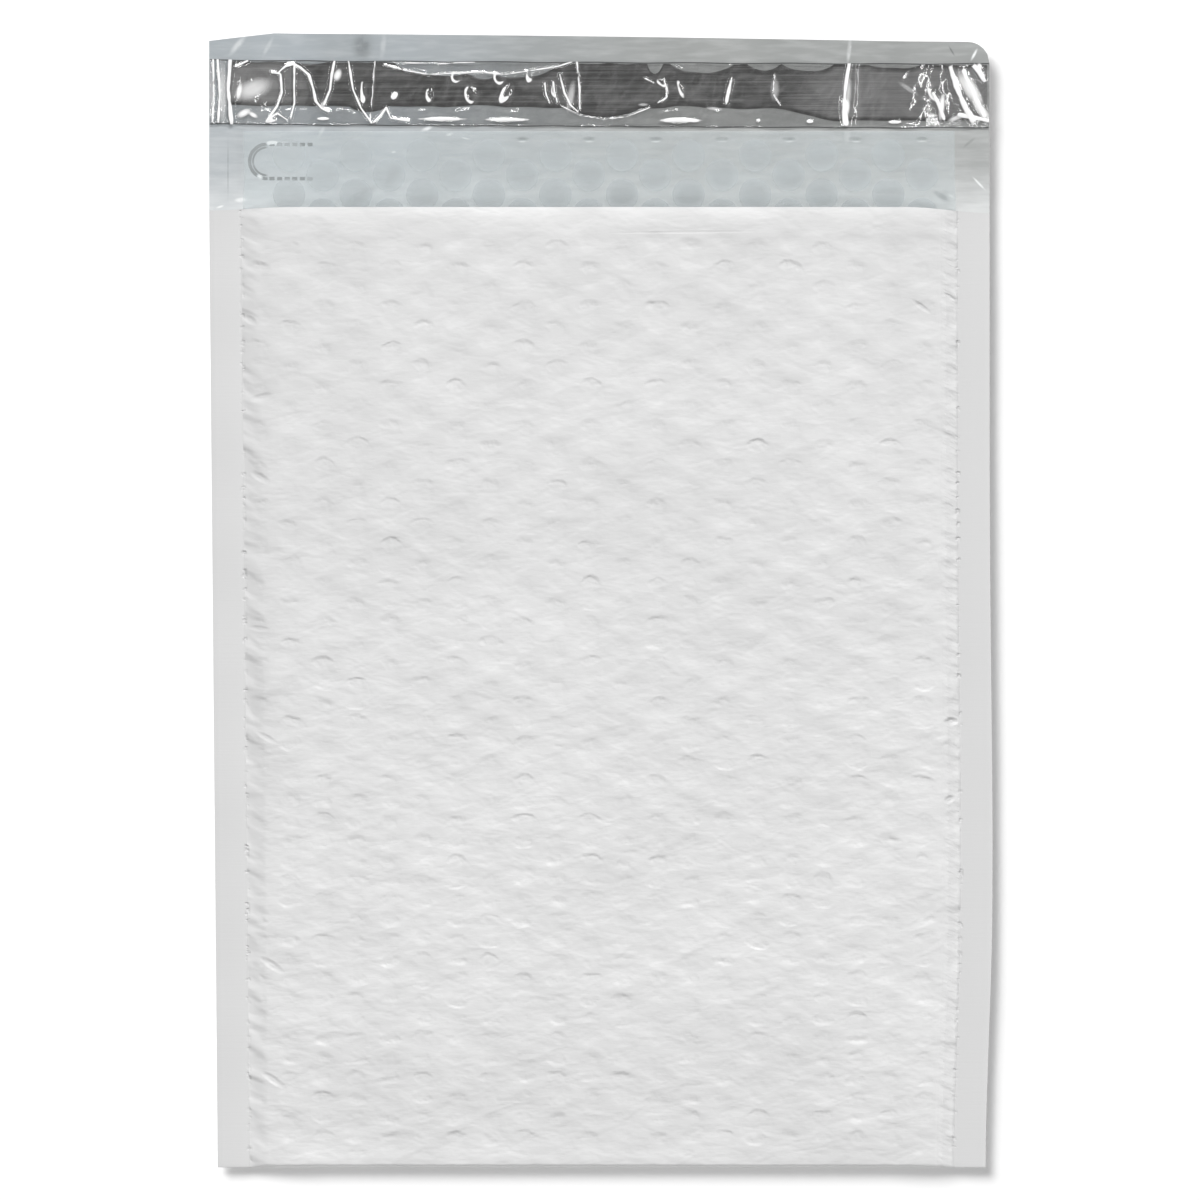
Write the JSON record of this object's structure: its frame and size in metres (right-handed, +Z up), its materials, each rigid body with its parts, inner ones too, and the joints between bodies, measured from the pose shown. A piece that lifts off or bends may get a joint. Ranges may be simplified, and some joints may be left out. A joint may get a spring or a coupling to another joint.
{
  "type": "padded envelope",
  "caption": "Bubble-lined film mailing envelope, empty and lying on its back: flat side seals, open mouth, and a flap laid out flat with its clear release liner still on the adhesive.",
  "frame": {"origin": "middle of the envelope's bounding box, at the back film's underside where it lies on the table", "axes": "+Y from the foot fold to the flap, +X to the right side seal seen from the closing side, +Z up out of the closing side"},
  "size_m": [0.2378, 0.3442, 0.0121],
  "materials": {
    "outer_film": "satin white outside, cool grey inside",
    "bubble_lining": "clear bubble film",
    "adhesive_strip": "glossy hot-melt adhesive",
    "release_liner": "clear glossy siliconised film, crumpled"
  },
  "bodies": {
    "root": {"outer_film": "outer_film", "bubble_lining": "bubble_lining", "adhesive_strip": "adhesive_strip", "release_liner": "release_liner"}
  },
  "joints": []
}
